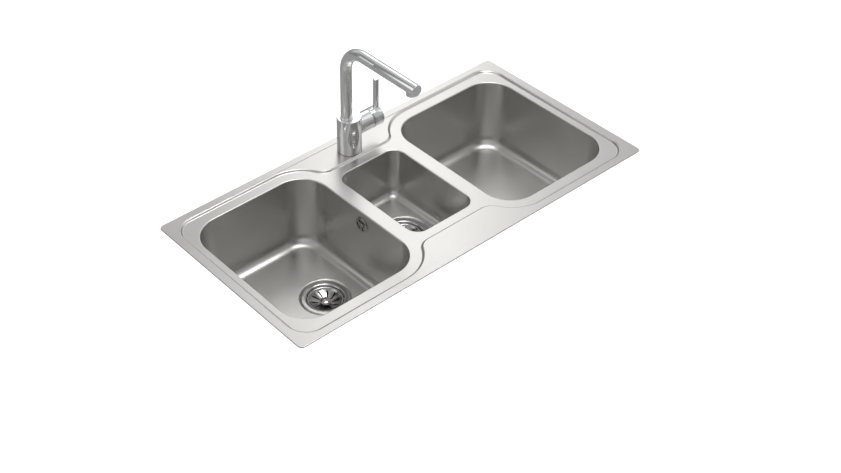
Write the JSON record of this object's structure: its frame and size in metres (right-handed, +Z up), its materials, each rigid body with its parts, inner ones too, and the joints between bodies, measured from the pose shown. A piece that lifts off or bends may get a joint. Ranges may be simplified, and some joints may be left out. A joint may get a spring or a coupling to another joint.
{
  "type": "inset kitchen sink with mixer tap",
  "caption": "Inset stainless steel kitchen sink with large bowls either side of a small one, strainer wastes and a pull-out mixer tap with a side lever.",
  "frame": {"origin": "centre of the flange, on the worktop's surface", "axes": "+X along the long side, towards the tap's lever; +Y towards the tap; +Z up"},
  "size_m": [1, 0.5, 0.587],
  "materials": {
    "satin_steel": "fine linear satin finish",
    "polished_steel": "polished stainless trim",
    "chrome": "mirror chrome plate",
    "zinc_steel": "zinc plated",
    "black_rubber": "matte black rubber",
    "grey_plastic": "moulded dark grey plastic",
    "white_plastic": "moulded white plastic",
    "brass": "machined brass",
    "bitumen": "matte sound-deadening pad"
  },
  "bodies": {
    "sink": {"sink_deck": "satin_steel", "bowl_left": "satin_steel", "bowl_centre": "satin_steel", "bowl_right": "satin_steel", "deck_seal": "black_rubber", "clip_brackets": "zinc_steel", "clip_hooks": "zinc_steel", "clip_screws": "zinc_steel", "sound_pad_left": "bitumen", "sound_pad_right": "bitumen", "waste_flange_left": "polished_steel", "waste_flange_centre": "polished_steel", "waste_flange_right": "polished_steel", "waste_washer_left": "black_rubber", "waste_washer_centre": "black_rubber", "waste_washer_right": "black_rubber", "waste_body_left": "grey_plastic", "waste_body_centre": "grey_plastic", "waste_body_right": "grey_plastic", "waste_screw_left": "polished_steel", "waste_screw_centre": "polished_steel", "waste_screw_right": "polished_steel", "overflow_cover": "polished_steel", "overflow_screw": "polished_steel", "overflow_seal": "black_rubber", "overflow_body": "grey_plastic", "overflow_pipe": "white_plastic", "tap_body": "chrome", "tap_gasket": "black_rubber", "tap_shank": "brass", "stabiliser_plate": "grey_plastic", "tap_washer": "zinc_steel", "tap_nut": "brass", "spout_bush_upper": "white_plastic", "spout_bush_lower": "white_plastic", "cartridge": "white_plastic", "cartridge_nut": "brass"},
    "spout": {"spout_tube": "chrome", "spout_collar": "chrome"},
    "spray": {"spray_head": "chrome", "docking_collar": "white_plastic", "spray_nozzle": "chrome", "aerator": "black_rubber", "spray_hose": "grey_plastic"},
    "handle_turn": {"cartridge_collar": "white_plastic"},
    "lever": {"cartridge_stem": "zinc_steel", "handle_cap": "chrome", "lever_rod": "chrome", "handle_grub_screw": "zinc_steel"},
    "basket_left": {"strainer_basket_left": "polished_steel", "strainer_knob_left": "polished_steel", "basket_seal_left": "black_rubber"},
    "basket_centre": {"strainer_basket_centre": "polished_steel", "strainer_knob_centre": "polished_steel", "basket_seal_centre": "black_rubber"},
    "basket_right": {"strainer_basket_right": "polished_steel", "strainer_knob_right": "polished_steel", "basket_seal_right": "black_rubber"}
  },
  "joints": [
    {"name": "spout_swivel", "type": "hinge", "parent": "sink", "child": "spout", "pos_m": [-0.008, 0.193, 0.096], "axis": [0, 0, 1], "range_deg": [-90, 90]},
    {"name": "spray_pull", "type": "slide", "parent": "spout", "child": "spray", "axis": [0, -1, 0], "range_m": [0, 0.4], "stiffness_N_per_m": 2, "springref_m": -1.5, "deforming": ["spray_hose"]},
    {"name": "handle_turn", "type": "hinge", "parent": "sink", "child": "handle_turn", "pos_m": [0.056, 0.194, 0.0598], "axis": [1, 0, 0], "range_deg": [-45, 45]},
    {"name": "handle_tilt", "type": "hinge", "parent": "handle_turn", "child": "lever", "pos_m": [0.06, 0.194, 0.0598], "axis": [0, 1, 0], "range_deg": [0, 12]},
    {"name": "basket_lift_left", "type": "slide", "parent": "sink", "child": "basket_left", "axis": [0, 0, 1], "range_m": [0, 0.26]},
    {"name": "basket_lift_centre", "type": "slide", "parent": "sink", "child": "basket_centre", "axis": [0, 0, 1], "range_m": [0, 0.2]},
    {"name": "basket_lift_right", "type": "slide", "parent": "sink", "child": "basket_right", "axis": [0, 0, 1], "range_m": [0, 0.26]}
  ]
}
